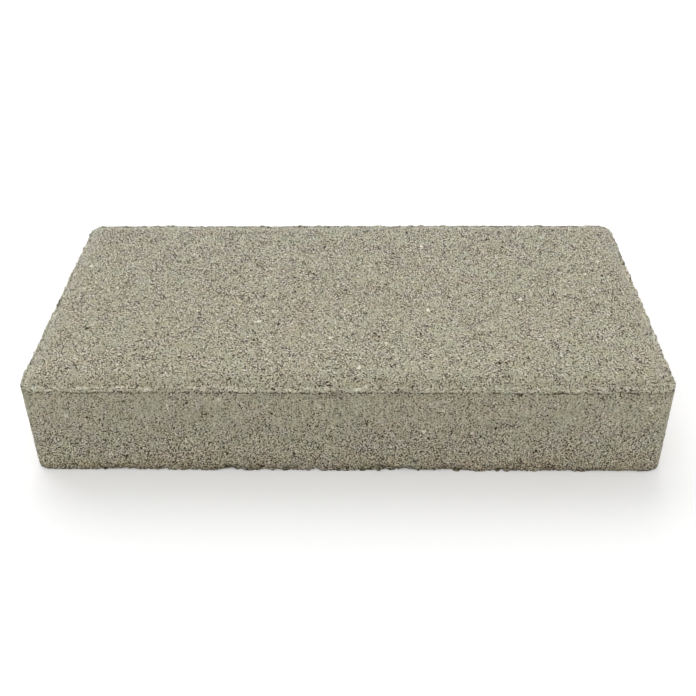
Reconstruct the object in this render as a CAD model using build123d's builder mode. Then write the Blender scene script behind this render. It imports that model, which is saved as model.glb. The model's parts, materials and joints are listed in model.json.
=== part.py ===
from build123d import *
import math
import os

# A concrete paving stone, pressed in a steel mould and cured as one piece.
# Millimetres. The origin is the middle of the bed face, the stone is long
# along X, and the wearing face looks up +Z.

# Outline on the bed and height of the stone
length = 300.0
width = 150.0
thickness = 51.5
corner_radius = 7.0      # the four upright corners, seen from above
mould_draft = 0.3        # degrees by which the sides lean in towards the top
bed_edge_round = 0.8     # the blunt edge round the bed

# Sloped margin round the wearing face
margin_width = 7.8       # from the arris in to the turn of the wearing face
margin_drop = 2.95       # from the wearing face down to the foot of the slope
face_corner_radius = 5.0
shoulder_radius = 11.0   # soft turn from the slope to the wearing face

# Bead of fines squeezed up along the arris, between press plate and mould
bead_width = 1.3
bead_height = 0.4
bead_round = 0.3

slope_foot = thickness - margin_drop
arris_inset = slope_foot * math.tan(math.radians(mould_draft))
foot_inset = arris_inset + bead_width
face_inset = arris_inset + margin_width

os.makedirs("parts", exist_ok=True)


def outline(height, inset, radius):
    """The stone's rounded outline at a height, drawn in all round by the inset."""
    with BuildSketch(Plane.XY.offset(height)) as ring:
        RectangleRounded(length - 2 * inset, width - 2 * inset, radius)
    return ring.sketch


bed = outline(0, 0, corner_radius)
arris = outline(slope_foot, arris_inset, corner_radius - arris_inset)
foot = outline(slope_foot, foot_inset, corner_radius - foot_inset)
face = outline(thickness, face_inset, face_corner_radius)

with BuildPart() as paving_stone:
    # Body with its drafted sides and blunt bed edge
    loft(sections=[bed, arris], ruled=True)
    fillet(paving_stone.edges().group_by(Axis.Z)[0], radius=bed_edge_round)

    # Bead round the arris, with a rounded crest
    with BuildSketch(Plane.XY.offset(slope_foot)):
        add(arris)
        add(foot, mode=Mode.SUBTRACT)
    extrude(amount=bead_height)
    fillet(paving_stone.edges().group_by(Axis.Z)[-1], radius=bead_round)

    # Slope from behind the bead up to the wearing face, with its soft shoulder
    loft(sections=[foot, face], ruled=True)
    fillet(paving_stone.edges().group_by(Axis.Z)[-1], radius=shoulder_radius)

paving_stone.part.label = "paving_stone"
export_step(paving_stone.part, "parts/paving_stone.step")
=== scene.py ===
import json
import math

import bmesh
import bpy
from mathutils import Euler, Matrix, Vector

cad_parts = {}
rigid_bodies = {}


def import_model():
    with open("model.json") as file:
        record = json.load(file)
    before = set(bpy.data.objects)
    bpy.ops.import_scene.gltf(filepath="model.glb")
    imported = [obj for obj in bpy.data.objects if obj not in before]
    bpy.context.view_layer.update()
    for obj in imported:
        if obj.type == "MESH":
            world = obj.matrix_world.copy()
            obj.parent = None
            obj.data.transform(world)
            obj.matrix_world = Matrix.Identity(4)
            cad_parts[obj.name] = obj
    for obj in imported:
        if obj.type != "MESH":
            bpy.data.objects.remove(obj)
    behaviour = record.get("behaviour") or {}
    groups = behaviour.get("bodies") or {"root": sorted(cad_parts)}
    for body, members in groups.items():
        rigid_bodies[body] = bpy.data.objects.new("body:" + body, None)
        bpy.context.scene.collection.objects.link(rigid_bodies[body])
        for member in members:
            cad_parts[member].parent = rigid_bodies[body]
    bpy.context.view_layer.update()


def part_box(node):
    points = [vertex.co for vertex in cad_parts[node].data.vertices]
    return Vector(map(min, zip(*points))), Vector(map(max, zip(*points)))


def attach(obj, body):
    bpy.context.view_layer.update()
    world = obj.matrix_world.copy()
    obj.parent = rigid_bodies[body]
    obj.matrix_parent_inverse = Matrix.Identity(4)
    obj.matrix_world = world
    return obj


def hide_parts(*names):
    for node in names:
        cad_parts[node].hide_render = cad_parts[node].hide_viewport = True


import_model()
stoneLow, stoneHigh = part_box("paving_stone")
mm = 0.001
halfLength = round(stoneHigh.x / mm)
halfWidth = round(stoneHigh.y / mm)

scene = bpy.context.scene
scene.view_settings.view_transform = "Standard"


# Camera, worked out from the outline of the stone in the photograph
camera = {
    "place": (9.72 * mm, -404.29 * mm, 324.85 * mm),
    "pitchDown": 33.53,
    "turn": 1.45,
    "roll": -0.796,
    "focalPixels": 949.3,
    "axisPixel": (346.36, 284.76),
    "photoSide": 696,
    "sensorWidth": 36,
    "clip": (0.01, 20),
}


def makeCamera(c):
    middlePixel = (c["photoSide"] - 1) / 2
    cameraData = bpy.data.cameras.new("photoCamera")
    cameraData.sensor_width = c["sensorWidth"]
    cameraData.lens = c["focalPixels"] / c["photoSide"] * c["sensorWidth"]
    cameraData.shift_x = (middlePixel - c["axisPixel"][0]) / c["photoSide"]
    cameraData.shift_y = (c["axisPixel"][1] - middlePixel) / c["photoSide"]
    cameraData.clip_start, cameraData.clip_end = c["clip"]
    photoCamera = bpy.data.objects.new("photoCamera", cameraData)
    scene.collection.objects.link(photoCamera)
    aim = Euler((math.radians(90 - c["pitchDown"]), 0, math.radians(c["turn"])), "XYZ")
    aim = aim.to_matrix().to_4x4()
    roll = Matrix.Rotation(math.radians(c["roll"]), 4, "Z")
    photoCamera.matrix_world = Matrix.Translation(c["place"]) @ aim @ roll
    scene.camera = photoCamera


makeCamera(camera)
print("camera placed")


# The stone's mesh: a cage with support loops, subdivided, roughened and thinned
stoneShape = {
    "cell": 10 * mm,             # spacing of the cage's loops
    "cornerRadius": 7 * mm,
    "cornerSegments": 3,
    "bedEdge": 0.5 * mm,
    "bedSegments": 2,
    "sideLean": 0.25 * mm,       # how far the arris stands in from the bed outline
    "arrisHeight": 48.6 * mm,
    "arrisSupport": 47.7 * mm,   # a loop that keeps the side flat up to the arris
    # loops of bead, slope and shoulder: inset from the arris, and height
    "marginLoops": [(0.15, 49.0), (0.95, 49.0), (1.4, 48.35), (3.6, 49.65), (5.9, 50.75)],
    "wearingFace": 51.5 * mm,
    "subdivisions": 4,
    "triangles": 190000,
}


nearlyLevel = 0.9    # how much of a level face's normal points straight up or down


def facesUp(face):
    return face.normal.z > nearlyLevel


def facesDown(face):
    return face.normal.z < -nearlyLevel


def deselectAll():
    if bpy.context.mode != "OBJECT":
        bpy.ops.object.mode_set(mode="OBJECT")
    bpy.ops.object.select_all(action="DESELECT")


def selectInMesh(piece, kind, test):
    bpy.ops.mesh.select_all(action="DESELECT")
    mesh = bmesh.from_edit_mesh(piece.data)
    for element in getattr(mesh, kind):
        if test(element):
            element.select_set(True)
    mesh.select_flush_mode()
    bmesh.update_edit_mesh(piece.data)


def cutAt(axis, place):
    along = Vector((0, 0, 0))
    along[axis] = 1
    bpy.ops.mesh.select_all(action="SELECT")
    bpy.ops.mesh.bisect(plane_co=along * place, plane_no=along, use_fill=False)


def cutEvenly(axis, start, end, cell):
    count = round((end - start) / cell)
    for i in range(1, count):
        cutAt(axis, start + (end - start) * i / count)


def makeStoneCage(s):
    deselectAll()
    size = stoneHigh - stoneLow
    tiny = 0.01 * mm
    bpy.ops.mesh.primitive_cube_add(
        size=1, location=(0, 0, s["arrisHeight"] / 2), scale=(size.x, size.y, s["arrisHeight"]))
    stone = bpy.context.active_object
    stone.name = stone.data.name = "pavingStone"
    bpy.ops.object.transform_apply(location=True, rotation=True, scale=True)
    bpy.ops.object.mode_set(mode="EDIT")

    # The sides lean in towards the arris
    bpy.ops.mesh.select_mode(type="FACE")
    selectInMesh(stone, "faces", facesUp)
    leanIn = (1 - s["sideLean"] / stoneHigh.x, 1 - s["sideLean"] / stoneHigh.y, 1)
    bpy.ops.transform.resize(value=leanIn, center_override=(0, 0, s["arrisHeight"]))

    # Rounded upright corners, and the loops between them
    bpy.ops.mesh.select_mode(type="EDGE")
    selectInMesh(stone, "edges", lambda e: abs(e.verts[0].co.z - e.verts[1].co.z) > tiny)
    bpy.ops.mesh.bevel(
        offset=s["cornerRadius"], segments=s["cornerSegments"], profile=0.5, affect="EDGES")
    bpy.ops.mesh.select_mode(type="VERT")
    cutEvenly(0, stoneLow.x, stoneHigh.x, s["cell"])
    cutEvenly(1, stoneLow.y, stoneHigh.y, s["cell"])
    cutEvenly(2, 0, s["arrisHeight"], s["cell"])
    cutAt(2, s["arrisSupport"])

    # Blunt bed edge
    bpy.ops.mesh.select_mode(type="EDGE")
    selectInMesh(stone, "edges", lambda e: len({facesDown(f) for f in e.link_faces}) == 2)
    bpy.ops.mesh.bevel(
        offset=s["bedEdge"], segments=s["bedSegments"], profile=0.5, affect="EDGES")

    # Bead, slope and shoulder, one inset after the other, and then the wearing face
    bpy.ops.mesh.select_mode(type="FACE")
    selectInMesh(stone, "faces", facesUp)
    inset, height = 0, s["arrisHeight"]
    for nextInset, nextHeight in s["marginLoops"]:
        bpy.ops.mesh.inset(
            thickness=(nextInset - inset) * mm, depth=0, use_boundary=True, use_even_offset=True)
        bpy.ops.transform.translate(value=(0, 0, nextHeight * mm - height))
        inset, height = nextInset, nextHeight * mm
    bpy.ops.mesh.select_less()
    bpy.ops.transform.translate(value=(0, 0, s["wearingFace"] - height))
    bpy.ops.object.mode_set(mode="OBJECT")
    return stone


def applyModifier(piece, modifier):
    bpy.context.view_layer.objects.active = piece
    bpy.ops.object.modifier_apply(modifier=modifier.name)


def subdivideStone(stone, s):
    smooth = stone.modifiers.new("rounding", "SUBSURF")
    smooth.levels = smooth.render_levels = s["subdivisions"]
    applyModifier(stone, smooth)


stone = makeStoneCage(stoneShape)
print("cage of the stone:", len(stone.data.polygons), "faces")
subdivideStone(stone, stoneShape)
print("subdivided stone:", len(stone.data.polygons), "faces")


# The relief of the pressed concrete. Sizes and strengths are in millimetres. Where its texture
# is high, a plus layer stands out and a minus one cuts in, and cells are high at their borders.
# A ramp makes spots: the texture counts as nothing at its first value and as full at its second.
reliefLayers = [
    {"name": "unevenFace", "basis": "ORIGINAL_PERLIN", "size": 26, "depth": 2,
     "strength": 0.30, "middle": 0.5},
    {"name": "softLumps", "basis": "IMPROVED_PERLIN", "size": 5, "depth": 2,
     "strength": 0.34, "middle": 0.52},
    {"name": "sandGrains", "basis": "VORONOI_F1", "size": 1.5, "depth": 1,
     "strength": -0.40, "middle": 0.45},
    {"name": "openPores", "basis": "IMPROVED_PERLIN", "size": 1.9, "depth": 2,
     "strength": -0.9, "middle": 0, "ramp": (0.60, 0.80)},
    {"name": "lostGrains", "basis": "VORONOI_F1", "size": 9, "depth": 0,
     "strength": -0.9, "middle": 0, "ramp": (0.16, 0.02)},
    {"name": "arrisWaves", "basis": "IMPROVED_PERLIN", "size": 13, "depth": 1,
     "strength": 1.9, "middle": 0.5, "group": "arris"},
    {"name": "arrisCrumbs", "basis": "IMPROVED_PERLIN", "size": 3.2, "depth": 3,
     "strength": 2.9, "middle": 0.51, "group": "arris"},
    {"name": "bedWaves", "basis": "IMPROVED_PERLIN", "size": 17, "depth": 2,
     "strength": 8.0, "middle": 0.595, "group": "bedRim"},
    {"name": "bedCrumbs", "basis": "IMPROVED_PERLIN", "size": 4.0, "depth": 3,
     "strength": 6.0, "middle": 0.555, "group": "bedRim"},
]


# The two ragged rims: how far in and how high they lie, and how far round there they reach
raggedRims = {
    "arris": {"inset": 0.8 * mm, "height": 48.9 * mm, "reach": 2.4 * mm},
    # the bed rim is ragged along the sides and cleaner at the four corners
    "bedRim": {"inset": 0, "height": 0, "reach": 4.5 * mm, "cleanCorner": 60 * mm},
}


def fadeOut(distance, reach):
    return max(0.0, 1.0 - distance / reach)


def fromSide(co):
    # how far inside the bed outline a point is, corners included
    dx = abs(co.x) - (stoneHigh.x - stoneShape["cornerRadius"])
    dy = abs(co.y) - (stoneHigh.y - stoneShape["cornerRadius"])
    if dx > 0 and dy > 0:
        return stoneShape["cornerRadius"] - math.hypot(dx, dy)
    return stoneShape["cornerRadius"] - max(dx, dy)


def rimWeight(co, rim):
    weight = fadeOut(math.hypot(fromSide(co) - rim["inset"], co.z - rim["height"]), rim["reach"])
    if "cleanCorner" in rim:
        fromCorner = math.hypot(stoneHigh.x - abs(co.x), stoneHigh.y - abs(co.y))
        weight *= 1 - fadeOut(fromCorner, rim["cleanCorner"])
    return weight


def weightRim(piece, rimName):
    group = piece.vertex_groups.new(name=rimName)
    steps = 20
    buckets = {}
    for v in piece.data.vertices:
        level = round(rimWeight(v.co, raggedRims[rimName]) * steps)
        if level > 0:
            buckets.setdefault(level, []).append(v.index)
    for level, found in buckets.items():
        group.add(found, level / steps, "REPLACE")


def roughen(piece, layer):
    texture = bpy.data.textures.new(layer["name"], "CLOUDS")
    texture.noise_basis = layer["basis"]
    texture.noise_scale = layer["size"] * mm
    texture.noise_depth = layer["depth"]
    if "ramp" in layer:
        texture.use_color_ramp = True
        low, high = texture.color_ramp.elements
        low.color, high.color = (0, 0, 0, 1), (1, 1, 1, 1)
        if layer["ramp"][0] > layer["ramp"][1]:
            low.color, high.color = (1, 1, 1, 1), (0, 0, 0, 1)
        low.position, high.position = sorted(layer["ramp"])
    relief = piece.modifiers.new(layer["name"], "DISPLACE")
    relief.texture = texture
    relief.texture_coords = "LOCAL"
    relief.strength = layer["strength"] * mm
    relief.mid_level = layer["middle"]
    relief.vertex_group = layer.get("group", "")
    applyModifier(piece, relief)


def keepInMould(piece):
    # the mould walls, the press plate and the bed board press flat what would stand proud
    for v in piece.data.vertices:
        for axis in range(3):
            v.co[axis] = min(max(v.co[axis], stoneLow[axis]), stoneHigh[axis])


def thinOut(piece, triangles):
    piece.data.calc_loop_triangles()
    thin = piece.modifiers.new("thinOut", "DECIMATE")
    thin.ratio = triangles / len(piece.data.loop_triangles)
    thin.use_collapse_triangulate = True
    applyModifier(piece, thin)


for rimName in raggedRims:
    weightRim(stone, rimName)
for layer in reliefLayers:
    roughen(stone, layer)
keepInMould(stone)
print("relief done")
thinOut(stone, stoneShape["triangles"])
keepInMould(stone)
deselectAll()
stone.select_set(True)
bpy.context.view_layer.objects.active = stone
bpy.ops.object.shade_smooth()
print("thinned stone:", len(stone.data.polygons), "triangles")


# The concrete: sand in grey-buff cement paste. Sizes are in millimetres, tones are shares of
# the colour, and edges are the two values of a noise between which a patch begins.
concreteLook = {
    # colours of the deepest hollow, painted in shade, of the paste and of the palest grain
    "shadedHollow": (48, 37, 20),
    "paste": (175, 169, 146),
    "palest": (240, 235, 217),
    "paleReach": 2.2,            # the tone at which the colour is the palest grain's
    # soft patches of three sizes, each with the two tints that the colour goes between
    "tintEdges": (0.38, 0.62),
    "tints": [
        {"size": 24, "from": (1.010, 0.993, 0.990), "to": (0.990, 1.007, 0.997)},
        {"size": 9, "from": (1.016, 0.992, 1.000), "to": (0.984, 1.010, 0.990)},
        {"size": 7, "from": (1.006, 1.000, 0.965), "to": (0.994, 1.000, 1.035)},
    ],
    "patternTurn": (31, 17, 43),  # degrees, so that no face lies along the noise's own grid
    # smooth flats and rough ground: shares of the sandiness where the noise is low and high
    "unevenEdges": (0.36, 0.62),
    "unevenness": [
        {"size": 9, "shares": (1.25, 0.7)},
        {"size": 2.6, "shares": (0.45, 1.65)},
    ],
    "sideUnevenness": 0.6,       # how much of it the slopes and the sides have
    "faceStart": (50.5, 51.2),   # heights between which the slope becomes the wearing face
    # the ground is sandier towards the back: places along the width, shares of the sandiness
    # and shares of the tone
    "towardsBack": {"places": (-35, 75), "sand": (0.97, 1.5), "tone": (1.02, 1.11)},
    # below gapStart a noise also cuts gaps between its grains, darkened as painted shade in them
    "grains": [
        {"size": 0.64, "detail": 0, "tone": 3.6, "height": 0.5, "gapStart": 0.12, "gapShade": 30.0},
        {"size": 1.1, "detail": 1, "tone": 0.1, "height": 0.8, "gapStart": 0.18, "gapShade": 3.0},
        {"size": 2.6, "detail": 1, "tone": 0.15, "height": 0.7, "gapStart": 0.5, "gapShade": 0.0},
    ],
    # pores, darkened as painted shade in them
    "pores": {"size": 1.2, "edges": (0.65, 0.75), "tone": -1.6, "height": -0.4},
    # offFace is the share of a spot's strength that is left on the slopes and the sides, and
    # gather the share of it that shows only in clusters
    "spots": [
        # pinholes and pits are darkened as painted shade in them; pale grains and stones are the
        # concrete's own colour
        {"name": "pinholes", "cell": 2.8, "radius": 0.58, "tone": -3.1, "height": -0.5,
         "offFace": 0.3, "gather": 0.9},
        {"name": "pits", "cell": 8.5, "radius": 1.0, "tone": -2.5, "height": -0.9,
         "offFace": 0.2, "gather": 0.65},
        {"name": "paleGrains", "cell": 6.0, "radius": 0.8, "tone": 1.0, "height": 0.1,
         "offFace": 0.8, "gather": 0.0},
        {"name": "paleStones", "cell": 15.0, "radius": 1.3, "tone": 2.5, "height": 0.1,
         "offFace": 0.5, "gather": 0.0},
    ],
    "spotCore": 0.7,             # the part of the radius that has the full tone
    "spotWarp": {"size": 1.0, "push": 0.9},    # a fine noise that pushes the spots' outlines
    "clusters": {"size": 8, "edges": (0.5, 0.64)},
    # hairlines lie where a noise crosses its middle: width is how far off the middle they end,
    # and core the share of it that has the full tone
    "cracks": {"size": 3.4, "width": 0.022, "core": 0.3, "patch": 6, "edges": (0.56, 0.66),
               "tone": -1.8},
    "streaks": {"size": (0.9, 0.9, 9.0), "tone": 1.2},
    # painted highlight along the crest of the bead, and under it a thin dark line of painted shade
    # with open pores
    "crestHighlightAndShadeLines": [
        {"height": 48.95, "halfWidth": 0.4, "tone": 0.5, "wobble": 1.0},
        {"height": 47.9, "halfWidth": 0.45, "tone": -0.85, "wobble": 1.2},
    ],
    "crestCore": 0.4,            # the part of the half width that has the full tone
    "crestWobble": 9,
    "crestGaps": {"size": 2.2, "edges": (0.42, 0.56)},
    # the slopes to the left, right and back are a little paler and cooler: where this
    # cooler band begins, from the side and in height, and how much paler they are
    "fines": {"fromSide": (9, 7), "height": (47.5, 48.5), "tone": 0.05,
              "tint": (0.995, 1.01, 1.045)},
    # browner patches near the bed, up to the height named top
    "foot": {"top": 18, "patch": 13, "edges": (0.4, 0.62), "shares": (0.4, 1.6),
             "tint": (1.045, 0.99, 0.92)},
    # the bed face has a tone of its own, inside the dark rim of painted contact shade
    "bed": {"fromSide": (4, 1.5), "height": (2, 1), "tone": 0.95},
    "roughness": 0.9,
}

# How the stone changes with height, in mm, from the bed to the wearing face
profileColumns = ("height", "sandiness", "streaks", "tone")
# The tone column also paints light and shade: darkest at the bed as painted contact shade along
# with the rough rim, lighter from 5 to 24 mm as painted light on the lower sides, and darker about
# 48 mm as painted shade under the bead
sideProfile = [
    (0.0, 1.4, 0.0, 0.48),
    (1.4, 1.3, 0.0, 0.88),
    (5.0, 1.2, 0.0, 1.08),
    (14.0, 1.1, 0.2, 1.10),
    (24.0, 0.8, 0.5, 1.04),
    (33.0, 0.5, 0.8, 1.01),
    (43.0, 0.5, 0.8, 1.01),
    (45.5, 0.55, 0.3, 0.99),
    (48.0, 0.62, 0.0, 0.93),
    (49.6, 0.62, 0.0, 0.97),
    (50.9, 0.7, 0.0, 0.98),
    (51.3, 1.0, 0.0, 1.0),
]


def linear(red, green, blue):
    return tuple(((c / 255 + 0.055) / 1.055) ** 2.4 for c in (red, green, blue)) + (1,)


class NodeDesk:
    # short ways to add nodes to one material: add gives the node, the others the socket to read
    def __init__(self, name):
        self.material = bpy.data.materials.new(name)
        self.material.use_nodes = True
        self.tree = self.material.node_tree
        self.shader = self.tree.nodes["Principled BSDF"]

    def add(self, kind, inputs, **settings):
        node = self.tree.nodes.new("ShaderNode" + kind)
        for name, value in settings.items():
            setattr(node, name, value)
        for name, value in inputs.items():
            self.feed(node.inputs[name], value)
        return node

    def feed(self, socket, value):
        if isinstance(value, bpy.types.NodeSocket):
            self.tree.links.new(value, socket)
        else:
            socket.default_value = value

    def sum(self, a, b):
        return self.math("ADD", a, b)

    def times(self, a, b):
        return self.math("MULTIPLY", a, b)

    def total(self, values):
        result = values[0]
        for value in values[1:]:
            result = self.sum(result, value)
        return result

    def math(self, operation, a, b=0.0):
        return self.add("Math", {0: a, 1: b}, operation=operation).outputs[0]

    def range(self, value, fromLow, fromHigh, toLow=0.0, toHigh=1.0):
        inputs = {"Value": value, "From Min": fromLow, "From Max": fromHigh}
        inputs.update({"To Min": toLow, "To Max": toHigh})
        return self.add("MapRange", inputs, interpolation_type="SMOOTHSTEP").outputs["Result"]

    def slope(self, value, fromLow, fromHigh):
        inputs = {"Value": value, "From Min": fromLow, "From Max": fromHigh}
        return self.add("MapRange", inputs, clamp=True).outputs["Result"]

    def noise(self, place, size, detail=1.0, roughness=0.5):
        inputs = {"Vector": place, "Scale": 1 / size, "Detail": detail, "Roughness": roughness}
        return self.add("TexNoise", inputs).outputs["Fac"]

    def signed(self, place, size, detail=1.0, roughness=0.5):
        return self.math("SUBTRACT", self.noise(place, size, detail, roughness), 0.5)

    def cells(self, place, size):
        return self.add("TexVoronoi", {"Vector": place, "Scale": 1 / size}).outputs["Distance"]

    def multiply(self, vector, factors):
        product = self.add("VectorMath", {0: vector, 1: factors}, operation="MULTIPLY")
        return product.outputs["Vector"]

    def blend(self, factor, a, b):
        mix = self.add("Mix", {"Factor": factor}, data_type="RGBA")
        self.feed(mix.inputs[6], a)
        self.feed(mix.inputs[7], b)
        return mix.outputs[2]


def overHeight(desk, height, name):
    # straight runs between the rows of sideProfile
    column = profileColumns.index(name)
    value = sideProfile[0][column]
    for lower, upper in zip(sideProfile, sideProfile[1:]):
        step = upper[column] - lower[column]
        if step:
            rise = desk.slope(height, lower[0], upper[0])
            value = desk.sum(value, desk.times(rise, step))
    return value


def readPlaces(desk, c):
    # places in millimetres, which the rest of the concrete reads
    upright = desk.multiply(desk.add("TexCoord", {}).outputs["Object"], (1 / mm, 1 / mm, 1 / mm))
    turn = tuple(math.radians(angle) for angle in c["patternTurn"])
    x, y, z = desk.add("SeparateXYZ", {"Vector": upright}).outputs
    return {
        "upright": upright,
        "turned": desk.add("Mapping", {"Vector": upright, "Rotation": turn}).outputs["Vector"],
        "height": z,
        "backwards": y,
        "sideways": desk.math("ABSOLUTE", x),
        "depthways": desk.math("ABSOLUTE", y),
        "onFace": desk.range(z, *c["faceStart"]),
    }


def nearSide(desk, fromMiddle, half, insets):
    # grows from 0 at the first inset from a side to 1 at the second
    return desk.slope(fromMiddle, half - insets[0], half - insets[1])


def gradeSandiness(desk, c, at):
    back = c["towardsBack"]
    sandiness = overHeight(desk, at["height"], "sandiness")
    sandiness = desk.times(sandiness, desk.range(at["backwards"], *back["places"], *back["sand"]))
    # sandy ground and calmer paste run into each other at two scales
    sideShare = c["sideUnevenness"]
    depth = desk.sum(sideShare, desk.times(at["onFace"], 1 - sideShare))
    for patch in c["unevenness"]:
        noise = desk.noise(at["turned"], patch["size"], 2)
        uneven = desk.range(noise, *c["unevenEdges"], *patch["shares"])
        uneven = desk.sum(1.0, desk.times(desk.sum(uneven, -1.0), depth))
        sandiness = desk.times(sandiness, uneven)
    return sandiness


def gradeTone(desk, c, at):
    back, bed = c["towardsBack"], c["bed"]
    tone = overHeight(desk, at["height"], "tone")
    tone = desk.times(tone, desk.range(at["backwards"], *back["places"], *back["tone"]))
    # only the rim of the bed is dark, with painted contact shade, and the bed face itself has a
    # tone of its own
    rimAtEnds = nearSide(desk, at["sideways"], halfLength, bed["fromSide"])
    rimAtSides = nearSide(desk, at["depthways"], halfWidth, bed["fromSide"])
    inside = desk.math("SUBTRACT", 1.0, desk.math("MAXIMUM", rimAtEnds, rimAtSides))
    onBed = desk.times(inside, desk.slope(at["height"], *bed["height"]))
    return desk.math("MAXIMUM", tone, desk.times(onBed, bed["tone"]))


def addGrains(desk, c, at, sandiness, tones, heights):
    for grain in c["grains"]:
        noise = desk.signed(at["turned"], grain["size"], grain["detail"])
        # painted shade in the gaps between the grains is darkest on rough ground
        gap = desk.math("MINIMUM", desk.sum(noise, grain["gapStart"]), 0.0)
        gap = desk.times(desk.times(gap, grain["gapShade"]), sandiness)
        tone = desk.sum(desk.times(noise, grain["tone"]), gap)
        tones.append(desk.times(tone, sandiness))
        heights.append(desk.times(desk.times(noise, sandiness), grain["height"]))

    # the pores are darkened as painted shade in them
    pores = desk.range(desk.noise(at["turned"], c["pores"]["size"], 2), *c["pores"]["edges"])
    pores = desk.times(pores, sandiness)
    tones.append(desk.times(pores, c["pores"]["tone"]))
    heights.append(desk.times(pores, c["pores"]["height"]))


def pushAbout(desk, place, warp):
    # gives what is read there an uneven outline
    inputs = {"Vector": place, "Scale": 1 / warp["size"], "Detail": 1.0}
    push = desk.add("TexNoise", inputs).outputs["Color"]
    push = desk.add("VectorMath", {0: push, 1: (0.5, 0.5, 0.5)}, operation="SUBTRACT")
    inputs = {0: push.outputs["Vector"], "Scale": 2 * warp["push"]}
    push = desk.add("VectorMath", inputs, operation="SCALE")
    pushed = desk.add("VectorMath", {0: place, 1: push.outputs["Vector"]}, operation="ADD")
    return pushed.outputs["Vector"]


def addSpots(desk, c, at, sandiness, tones, heights):
    pushed = pushAbout(desk, at["turned"], c["spotWarp"])
    clusters = desk.noise(at["turned"], c["clusters"]["size"], 2)
    clusters = desk.range(clusters, *c["clusters"]["edges"])
    for spot in c["spots"]:
        edge = spot["radius"] / spot["cell"]
        found = desk.range(desk.cells(pushed, spot["cell"]), edge, c["spotCore"] * edge)
        share = desk.sum(spot["offFace"], desk.times(at["onFace"], 1 - spot["offFace"]))
        gathered = desk.sum(1 - spot["gather"], desk.times(clusters, spot["gather"]))
        found = desk.times(found, desk.times(share, gathered))
        found = desk.times(found, sandiness)
        # the negative tones darken pinholes and pits as painted shade in them
        tones.append(desk.times(found, spot["tone"]))
        heights.append(desk.times(found, spot["height"]))


def addCracks(desk, c, at, tones):
    # short hairlines where paste tore as the stone was pushed out of the mould
    cracks = c["cracks"]
    line = desk.math("ABSOLUTE", desk.signed(at["turned"], cracks["size"], 0))
    line = desk.range(line, cracks["width"], cracks["core"] * cracks["width"])
    patches = desk.range(desk.noise(at["turned"], cracks["patch"], 2), *cracks["edges"])
    tones.append(desk.times(desk.times(line, patches), cracks["tone"]))


def addCrestHighlightAndShade(desk, c, at, tones):
    # painted highlight along the crest of the bead, and below it a thin dark line of painted shade
    # with open pores, both with gaps
    gaps = desk.noise(at["turned"], c["crestGaps"]["size"], 2)
    gaps = desk.range(gaps, *c["crestGaps"]["edges"])
    for line in c["crestHighlightAndShadeLines"]:
        wobble = desk.times(desk.signed(at["turned"], c["crestWobble"], 2), line["wobble"])
        level = desk.sum(desk.sum(at["height"], wobble), -line["height"])
        level = desk.math("ABSOLUTE", level)
        level = desk.range(level, line["halfWidth"], c["crestCore"] * line["halfWidth"])
        tones.append(desk.times(desk.times(level, gaps), line["tone"]))


def addStreaks(desk, c, at, tones):
    # drag streaks that the mould walls left on the upright sides
    stretched = desk.multiply(at["upright"], tuple(1 / size for size in c["streaks"]["size"]))
    share = overHeight(desk, at["height"], "streaks")
    streaks = desk.times(desk.signed(stretched, 1.0, 1), share)
    tones.append(desk.times(streaks, c["streaks"]["tone"]))


def findPaleCoolSlopes(desk, c, at):
    # the slopes to the left, right and back
    atEnds = nearSide(desk, at["sideways"], halfLength, c["fines"]["fromSide"])
    atBack = nearSide(desk, at["backwards"], halfWidth, c["fines"]["fromSide"])
    outward = desk.math("MAXIMUM", atEnds, atBack)
    return desk.times(outward, desk.slope(at["height"], *c["fines"]["height"]))


def tintGround(desk, c, at, ground, fines):
    colour = ground
    for patch in c["tints"]:
        share = desk.range(desk.noise(at["turned"], patch["size"], 2), *c["tintEdges"])
        tint = desk.blend(share, patch["from"] + (1,), patch["to"] + (1,))
        colour = desk.multiply(colour, tint)
    foot = desk.noise(at["turned"], c["foot"]["patch"], 2)
    foot = desk.range(foot, *c["foot"]["edges"], *c["foot"]["shares"])
    foot = desk.times(desk.slope(at["height"], c["foot"]["top"], 0), foot)
    for share, tint in ((fines, c["fines"]["tint"]), (foot, c["foot"]["tint"])):
        colour = desk.multiply(colour, desk.blend(share, (1, 1, 1, 1), tint + (1,)))
    return colour


def makeConcrete(c):
    desk = NodeDesk("greyBuffConcrete")
    at = readPlaces(desk, c)
    sandiness = gradeSandiness(desk, c, at)
    tones, heights = [], []
    addGrains(desk, c, at, sandiness, tones, heights)
    addSpots(desk, c, at, sandiness, tones, heights)
    addCracks(desk, c, at, tones)
    addCrestHighlightAndShade(desk, c, at, tones)
    addStreaks(desk, c, at, tones)
    fines = findPaleCoolSlopes(desk, c, at)
    tones.append(desk.times(fines, c["fines"]["tone"]))

    # From the hollow in painted shade to paste up to a tone of 1, and from there on to the palest
    # grain
    tone = desk.times(desk.sum(1.0, desk.total(tones)), gradeTone(desk, c, at))
    ground = desk.blend(desk.math("MINIMUM", tone, 1.0), linear(*c["shadedHollow"]), linear(*c["paste"]))
    ground = desk.blend(desk.slope(tone, 1.0, c["paleReach"]), ground, linear(*c["palest"]))
    colour = tintGround(desk, c, at, ground, fines)
    desk.feed(desk.shader.inputs["Base Color"], colour)
    desk.shader.inputs["Roughness"].default_value = c["roughness"]

    bump = desk.add("Bump", {"Strength": 1.0, "Distance": mm, "Height": desk.total(heights)})
    desk.feed(desk.shader.inputs["Normal"], bump.outputs["Normal"])
    return desk.material


stone.data.materials.clear()
stone.data.materials.append(makeConcrete(concreteLook))
print("concrete on the stone")


# Floor, lamps and world: a soft sun from behind and above, and an even white dome
studio = {
    "floorSide": 8,
    "floorTone": 0.88,
    "floorLift": 0.28,           # only for what the camera sees, so that the floor looks white
    "worldLevel": 0.66,
    "sunToLamp": (-0.13, 0.42, 0.46),
    "sunLevel": 0.46,
    "sunAngle": 60,
}


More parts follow.
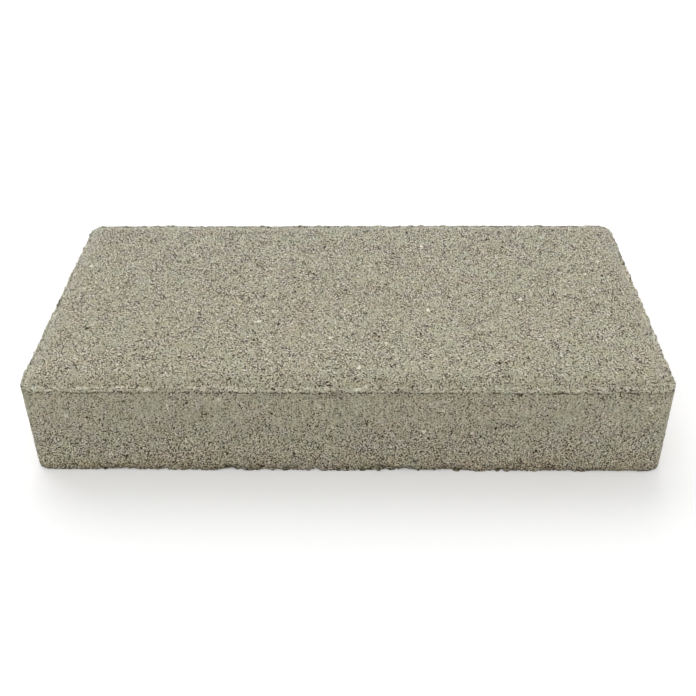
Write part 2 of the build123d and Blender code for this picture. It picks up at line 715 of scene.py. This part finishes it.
def seenDirectly(desk):
    path = desk.add("LightPath", {}).outputs
    seen = desk.total([path["Is Camera Ray"], path["Is Glossy Ray"], path["Is Transmission Ray"]])
    return desk.math("MINIMUM", seen, 1.0)


def makeFloor(s):
    deselectAll()
    bpy.ops.mesh.primitive_plane_add(size=s["floorSide"], location=(0, 0, 0))
    floor = bpy.context.active_object
    floor.name = "studioFloor"
    desk = NodeDesk("whiteFloor")
    desk.shader.inputs["Base Color"].default_value = (s["floorTone"],) * 3 + (1,)
    desk.shader.inputs["Roughness"].default_value = 1.0
    desk.shader.inputs["Specular IOR Level"].default_value = 0.0
    desk.shader.inputs["Emission Color"].default_value = (1, 1, 1, 1)
    lift = desk.times(seenDirectly(desk), s["floorLift"])
    desk.feed(desk.shader.inputs["Emission Strength"], lift)
    floor.data.materials.append(desk.material)


def makeWorld(s):
    world = bpy.data.worlds.new("studioWorld")
    scene.world = world
    world.use_nodes = True
    tree = world.node_tree
    background = tree.nodes["Background"]
    background.inputs["Color"].default_value = (1, 1, 1, 1)
    path = tree.nodes.new("ShaderNodeLightPath")
    level = s["worldLevel"]
    seen = None
    for ray in ("Is Camera Ray", "Is Glossy Ray", "Is Transmission Ray"):
        step = tree.nodes.new("ShaderNodeMath")
        step.operation = "MAXIMUM"
        tree.links.new(path.outputs[ray], step.inputs[0])
        if seen is None:
            step.inputs[1].default_value = level
        else:
            tree.links.new(seen, step.inputs[1])
        seen = step.outputs[0]
    tree.links.new(seen, background.inputs["Strength"])


def makeSun(s):
    sunData = bpy.data.lights.new("softSun", "SUN")
    sunData.energy = s["sunLevel"] * math.pi
    sunData.angle = math.radians(s["sunAngle"])
    sun = bpy.data.objects.new("softSun", sunData)
    sun.rotation_euler = Vector(s["sunToLamp"]).to_track_quat("Z", "Y").to_euler()
    sun.location = Vector(s["sunToLamp"]).normalized()
    scene.collection.objects.link(sun)


makeFloor(studio)
makeWorld(studio)
makeSun(studio)
print("floor and lights placed")

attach(stone, "root")
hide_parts("paving_stone")
